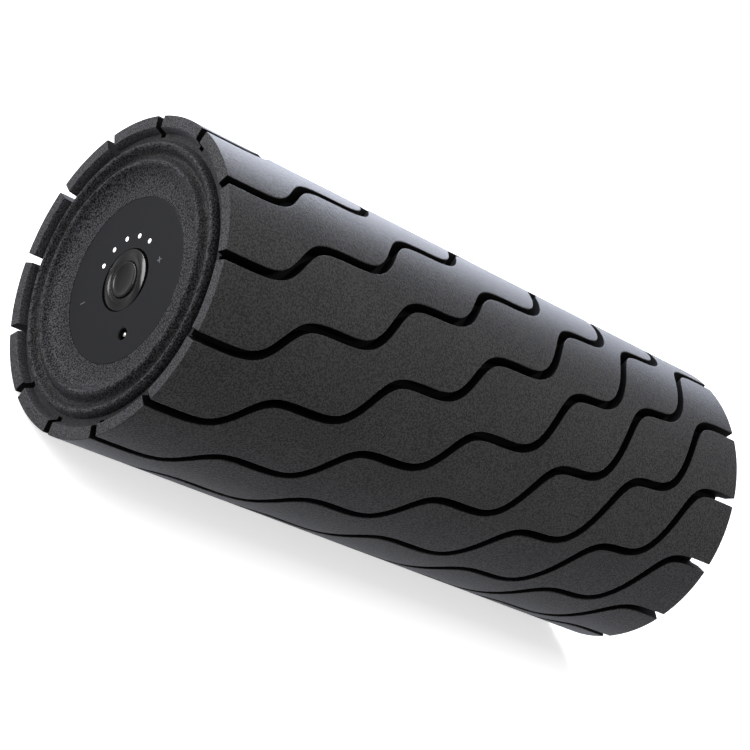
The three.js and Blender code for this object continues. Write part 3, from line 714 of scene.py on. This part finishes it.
def relief(material, height, strength, depth):
    return add(material, "Bump", {
        "Height": height, "Strength": strength, "Distance": depth,
    }).outputs[0]


def foam_grain(material, place, width, sharpness):
    """Specks from 0 to 1, a little denser in some places than in others, and the grain's height."""
    grain = noise(material, place, width, Roughness=0.6)
    clouds = noise(material, place, CLOUD_WIDTH)
    drift = mapped(material, clouds, -0.04, 0.04)
    level = add(material, "Math", {0: grain, 1: drift}, operation="ADD").outputs[0]
    specks = mapped(material, level, 0, 1, start=0.5 - sharpness, end=0.5 + sharpness)
    cells = add(material, "TexVoronoi", {"Vector": place, "Scale": 0.8 / width}).outputs["Distance"]
    height = add(material, "Math", {0: grain, 1: cells}, operation="ADD").outputs[0]
    return specks, height


def painted_valley_shade_share(material, place):
    """How much painted shade a place gets from lying near the floor of a valley between the raised
    rings, from 0 up to the valley shade.
    """
    flat = add(material, "VectorMath", {0: place, 1: (0, 1, 1)}, operation="MULTIPLY").outputs[0]
    radius = add(material, "VectorMath", {0: flat}, operation="LENGTH").outputs["Value"]
    turns = mapped(
        material, radius, 0, 4 * pi, start=INNER_CREST, end=2 * OUTER_CREST - INNER_CREST,
    )
    wave = add(material, "Math", {0: turns}, operation="COSINE").outputs[0]
    return mapped(material, wave, 0, PAINTED_VALLEY_SHADE, start=0.98, end=-0.2)


def moulded_foam(
    name, dark, light, width, sharpness, gloss, sheen, relief_depth, paint_valley_shade=False, pits=1,
):
    # Closed-cell EVA foam pressed in a warm tool: dull, with cells under a thin skin that speckle
    # it light and dark, and with a pale bloom at a low angle, where the cells' walls catch the
    # light. Where asked, painted shade darkens the valleys between the raised rings of the end
    # faces. Where its cells are open they are dark pits, which shine less than the skin between
    # them.
    foam = new_material(name)
    place = object_place(foam)
    specks, height = foam_grain(foam, place, width, sharpness)
    toned = tone(foam, specks, dark, light)
    if paint_valley_shade:
        # Painted shade: the foam is darkened towards its dark speck colour in the valleys between
        # the raised rings, under any light.
        toned = tone(foam, painted_valley_shade_share(foam, place), toned, dark)
    return surface(foam, {
        "Base Color": toned,
        "Roughness": mapped(foam, specks, 0.68, 0.58),
        "Normal": relief(foam, height, 0.6, relief_depth),
        "IOR": 1.48,
        "Specular IOR Level": mapped(foam, specks, pits * gloss, gloss),
        "Sheen Weight": mapped(foam, specks, pits * sheen, sheen),
        "Sheen Roughness": 0.35,
        "Sheen Tint": linear("#E8ECF8"),
    })


def moulded_plastic(name, dark, light, grain_width, roughness, gloss=0.2, depth=0.02 * MM):
    # ABS, PBT or nylon from a polished or a lightly etched tool, or the flat ink of the marks: one
    # even tone, with a fine grain that only softens its reflections, and faint streaks where it
    # ran.
    plastic = new_material(name)
    place = object_place(plastic)
    grain = noise(plastic, place, grain_width)
    flow = noise(plastic, place, 14 * MM, Distortion=0.6)
    return surface(plastic, {
        "Base Color": tone(plastic, flow, dark, light),
        "Roughness": mapped(
            plastic, grain, roughness - 0.04, roughness + 0.04, start=0.3, end=0.7,
        ),
        "Normal": relief(plastic, grain, 0.35, depth),
        "IOR": 1.54,
        "Specular IOR Level": gloss,
    })


def lit_polycarbonate():
    # Clear moulded polycarbonate with a light behind it: a white spot, clouded a little by the
    # haze of its frosted face.
    clear = new_material("polycarbonate_moulded_lit")
    haze = noise(clear, object_place(clear), 0.8 * MM, detail=1)
    glow = tone(clear, haze, "#EEF3FF", "#FFFFFF")
    return surface(clear, {
        "Base Color": glow, "Roughness": 0.25, "IOR": 1.58, "Emission Color": glow,
        "Emission Strength": 1.1,
    })


def plated_metal(name, dark, light, roughness, line_width):
    # Turned, pressed or drawn metal, most of it under a thin even plating of zinc or nickel: fine
    # lines from the tool round the axis, which blur the reflection one way.
    metal = new_material(name)
    place = object_place(metal)
    stretched = add(metal, "Mapping", {"Vector": place, "Scale": (1, 0.1, 0.1)}).outputs[0]
    lines = noise(metal, stretched, line_width)
    stain = noise(metal, place, 3 * MM)
    return surface(metal, {
        "Base Color": tone(metal, stain, dark, light),
        "Metallic": 1,
        "Roughness": mapped(
            metal, lines, roughness - 0.08, roughness + 0.08, start=0.3, end=0.7,
        ),
        "Normal": relief(metal, lines, 0.3, 0.01 * MM),
    })


def circuit_board():
    # Glass-epoxy laminate under green solder mask: copper tracks show through as a lighter green,
    # and the weave of the glass gives a faint grid.
    board = new_material("fr4_laminate_solder_mask")
    place = object_place(board)
    tracks = add(board, "TexBrick", {
        "Vector": add(board, "Mapping", {"Vector": place, "Rotation": (0, pi / 2, 0)}).outputs[0],
        "Scale": 1 / (5 * MM), "Mortar Size": 0.06, "Mortar Smooth": 0.1, "Bias": 0,
        "Brick Width": 0.9, "Row Height": 0.45,
        "Color1": linear("#0B4A27"), "Color2": linear("#0D5029"), "Mortar": linear("#2B7A45"),
    }).outputs["Color"]
    weave = add(board, "TexWave", {
        "Vector": place, "Scale": 1 / (1.2 * MM), "Distortion": 0.5,
    }).outputs[1]
    return surface(board, {
        "Base Color": tracks, "Roughness": 0.35, "IOR": 1.5,
        "Normal": relief(board, weave, 0.2, 0.01 * MM),
    })


def sleeve_or_lead(name, dark, light, roughness):
    # PVC film shrunk over a cell, or PVC drawn over a wire: smooth and a little glossy, with small
    # ripples where it has pulled tight.
    film = new_material(name)
    stretched = add(film, "Mapping", {"Vector": object_place(film), "Scale": (0.2, 1, 1)})
    ripple = noise(film, stretched.outputs[0], 2 * MM, detail=1)
    return surface(film, {
        "Base Color": tone(film, ripple, dark, light), "Roughness": roughness, "IOR": 1.53,
        "Normal": relief(film, ripple, 0.3, 0.05 * MM),
    })


def give(material, *pieces):
    """Puts a material on every slot of each piece, or of each CAD node named."""
    for piece in pieces:
        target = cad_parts[piece] if isinstance(piece, str) else piece
        if not target.data.materials:
            target.data.materials.append(material)
        for slot in target.material_slots:
            slot.material = material


def tread_zones(sleeve, outside, ends, grooves):
    """The outside in its skin, the end faces in the coarse grain, and the grooves in a near-black
    foam that paints their shade.
    """
    sleeve.data.materials.clear()
    for material in (outside, ends, grooves):
        sleeve.data.materials.append(material)
    inner_end = HALF_LENGTH - VALLEY_DEPTH - LEVEL
    for face in sleeve.data.polygons:
        middle, normal = face.center, face.normal
        radius = hypot(middle.y, middle.z)
        outward = (middle.y * normal.y + middle.z * normal.z) / radius
        sidelong = (middle.y * normal.z - middle.z * normal.y) / radius
        if radius > ROLLER_RADIUS - BLOCK_EDGE and outward > 0.3:
            face.material_index = 0
        elif abs(middle.x) > inner_end and abs(sidelong) < 0.5:
            face.material_index = 1
        else:
            # The grooves' walls and floors take near-black foam as painted shade.
            face.material_index = 2


# The roller

tread = tread_sleeve()
near_ring = at_control_end(foam_ring("foam_end_near"))
far_ring = at_far_end(foam_ring("foam_end_far"))
panel = control_panel()
rocker = speed_rocker()
button = power_button()
lights = light_dots()
socket = charging_socket()
pin = socket_pin()
cap = far_cap()
plus = bar_mark("plus_mark", *PLUS_PLACE, [(1, 0), (-1, 0), (0, 1), (0, -1)])
minus = bar_mark("minus_mark", *MINUS_PLACE, [(1, 0), (-1, 0)])

skin = moulded_foam(
    "eva_foam_moulded_skin", "#0C0C0C", "#303030", width=0.75 * MM, sharpness=0.06,
    gloss=0.3, sheen=0.6, relief_depth=0.12 * MM,
)
coarse = moulded_foam(
    "eva_foam_coarse_grain", "#010102", "#3A3A3E", width=0.6 * MM, sharpness=0.035,
    gloss=0.3, sheen=0.12, relief_depth=0.2 * MM, paint_valley_shade=True,
)
open_foam = moulded_foam(
    "eva_foam_open_grain", "#010102", "#2F2F33", width=0.6 * MM, sharpness=0.03,
    gloss=0.3, sheen=0.12, relief_depth=0.25 * MM, paint_valley_shade=True, pits=0.45,
)
# Painted shade: a near-black copy of the foam for the grooves, far darker than the skin, standing
# in for the shade deep in them.
groove_painted_shade_foam = moulded_foam(
    "eva_foam_groove_painted_shade", "#020202", "#060606", width=0.8 * MM, sharpness=0.2,
    gloss=0.08, sheen=0, relief_depth=0.05 * MM,
)
satin_black = moulded_plastic(
    "abs_moulded_satin_black", "#121316", "#15161A", grain_width=0.5 * MM, roughness=0.45,
    gloss=0.12,
)
smooth_black = moulded_plastic(
    "abs_moulded_smooth_black", "#0A0A0C", "#0E0E10", grain_width=0.3 * MM, roughness=0.17,
    gloss=0.24,
)
socket_black = moulded_plastic(
    "pbt_moulded_black", "#0D0D0F", "#131315", grain_width=0.4 * MM, roughness=0.5,
)
shell_grey = moulded_plastic(
    "abs_moulded_charcoal", "#35373B", "#3E4045", grain_width=0.6 * MM, roughness=0.55,
    depth=0.05 * MM,
)
holder_black = moulded_plastic(
    "nylon_moulded_black", "#17181A", "#1F2022", grain_width=0.5 * MM, roughness=0.6,
)
printed_grey = moulded_plastic(
    "pad_printed_ink_grey", "#4E5055", "#585A5F", grain_width=0.3 * MM, roughness=0.6,
)
brass = plated_metal(
    "brass_turned_nickel_plated", "#B9B5AB", "#D6D3CB", roughness=0.25, line_width=0.2 * MM,
)
zinc_steel = plated_metal(
    "steel_turned_zinc_plated", "#8E9094", "#B4B6B9", roughness=0.35, line_width=0.3 * MM,
)
bare_steel = plated_metal(
    "steel_pressed_bare", "#7B7C7F", "#989A9D", roughness=0.45, line_width=0.5 * MM,
)
drawn_steel = plated_metal(
    "steel_drawn_nickel_plated", "#9C9B98", "#B9B8B4", roughness=0.3, line_width=0.4 * MM,
)

for piece, node, slot, material in (
    (tread, "tread_sleeve", "tread", skin),
    (near_ring, "control_end_ring", "end_foam", open_foam),
    (far_ring, "far_end_ring", "end_foam", open_foam),
    (panel, "control_panel", "panel", satin_black),
    (lights, "light_guide", "light", lit_polycarbonate()),
    (socket, "charging_socket", "socket", socket_black),
    (pin, "socket_pin", "steel", brass),
    (cap, "far_end_cap", "panel", satin_black),
):
    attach(piece, "housing")
    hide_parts(node)
    if piece is tread:
        tread_zones(tread, skin, coarse, groove_painted_shade_foam)
    else:
        give(material, piece)

for piece in (plus, minus):
    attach(piece, "housing")
    give(printed_grey, piece)

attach(button, "button")
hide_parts("power_button")
give(smooth_black, button)

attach(rocker, "rocker")
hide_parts("speed_rocker")
give(smooth_black, rocker)

# Pieces inside, which show where the roller is opened
screws = [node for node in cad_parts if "_screw_" in node]
cells = [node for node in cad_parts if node.startswith("battery_cell_")]
give(shell_grey, "core_shell_upper", "core_shell_lower", "control_end_frame", "far_end_frame")
give(zinc_steel, *screws, "motor_shaft")
give(bare_steel, "eccentric_weight_near", "eccentric_weight_far")
give(drawn_steel, "motor_can")
give(circuit_board(), "control_board")
give(socket_black, "power_switch", "speed_up_switch", "speed_down_switch")
give(holder_black, "battery_holder_near", "battery_holder_far")
give(sleeve_or_lead("pvc_shrunk_blue", "#1F5FA0", "#2B6DB0", roughness=0.3), *cells)
give(
    sleeve_or_lead("pvc_extruded_red", "#8E1414", "#A01B1B", roughness=0.4),
    "battery_lead", "motor_lead",
)


# Floor, light and camera

def studio_floor():
    # Matte white paper, faintly uneven from its fibres. It glows to the camera and through clear
    # pieces, so that it is as pale as the photo's ground, and mirrors see it at an even strength.
    floor = named(new_shape(
        bpy.ops.mesh.primitive_plane_add, size=FLOOR_SIZE, location=(0, 0, -ROLLER_RADIUS),
    ), "studio_floor")
    apply_place(floor)
    paper = new_material("paper_matte_white")
    light = add(paper, "LightPath").outputs
    seen = add(paper, "Math", {
        0: light["Is Camera Ray"], 1: light["Is Transmission Ray"],
    }, operation="MAXIMUM").outputs[0]
    strength = add(paper, "Math", {0: seen, 1: FLOOR_LIFT}, operation="MULTIPLY").outputs[0]
    fibres = noise(paper, object_place(paper), 2 * MM, detail=1)
    white = tone(paper, fibres, "#EFEFEF", "#F4F4F4")
    matte = add(paper, "BsdfDiffuse", {"Color": white}).outputs[0]
    lift = add(paper, "Emission", {"Strength": strength}).outputs[0]
    lit = add(paper, "AddShader", {0: matte, 1: lift}).outputs[0]
    reflected = add(paper, "Emission", {"Strength": FLOOR_REFLECTED}).outputs[0]
    show(paper, add(paper, "MixShader", {0: light["Is Glossy Ray"], 1: lit, 2: reflected}))
    floor.data.materials.append(paper)


def white_surroundings():
    """White to the camera, in mirrors and through clear pieces, and a dimmer fill light besides."""
    world = bpy.data.worlds.new("studio_white")
    bpy.context.scene.world = world
    world.use_nodes = True
    world.node_tree.nodes.clear()
    light = add(world, "LightPath").outputs
    seen = add(world, "Math", {
        0: light["Is Camera Ray"], 1: light["Is Glossy Ray"],
    }, operation="MAXIMUM").outputs[0]
    seen = add(world, "Math", {
        0: seen, 1: light["Is Transmission Ray"],
    }, operation="MAXIMUM").outputs[0]
    strength = mapped(world, seen, WORLD_FILL, 1)
    back = add(world, "Background", {"Color": linear("#FFFFFF"), "Strength": strength})
    output = add(world, "OutputWorld")
    world.node_tree.links.new(back.outputs[0], output.inputs["Surface"])


def softbox(name, place, aim, width, height, power, colour="#FFFFFF", roll=0):
    lamp = bpy.data.lights.new(name, "AREA")
    lamp.color = linear(colour)[:3]
    lamp.shape = "RECTANGLE"
    lamp.size = width
    lamp.size_y = height
    lamp.energy = power
    box = bpy.data.objects.new(name, lamp)
    bpy.context.collection.objects.link(box)
    box.location = place
    facing = (Vector(aim) - Vector(place)).to_track_quat("-Z", "Y").to_matrix()
    box.rotation_euler = (facing @ Matrix.Rotation(radians(roll), 3, "Z")).to_euler()


studio_floor()
white_surroundings()
softbox(
    "softbox_over", place=(0, -0.3, 1.2), aim=(0, 0, 0), width=1.2, height=0.8, power=6,
)
softbox(
    "softbox_behind", place=(0.4, 1.1, 0.5), aim=(0, 0, 0), width=0.9, height=0.5, power=17,
    colour="#EAEFFF",
)
softbox(
    "softbox_controls", place=(-0.777, 0.33, 0.13), aim=(-HALF_LENGTH, 0, 0), width=1,
    height=0.15, power=7.5, roll=-26,
)

camera = bpy.data.objects.new("camera", bpy.data.cameras.new("camera"))
bpy.context.collection.objects.link(camera)
bpy.context.scene.camera = camera
camera.location = CAMERA_PLACE
camera.rotation_euler = [radians(turn) for turn in CAMERA_TURN]
camera.data.lens = CAMERA_LENS
camera.data.sensor_width = CAMERA_SENSOR
bpy.context.scene.view_settings.view_transform = "Standard"
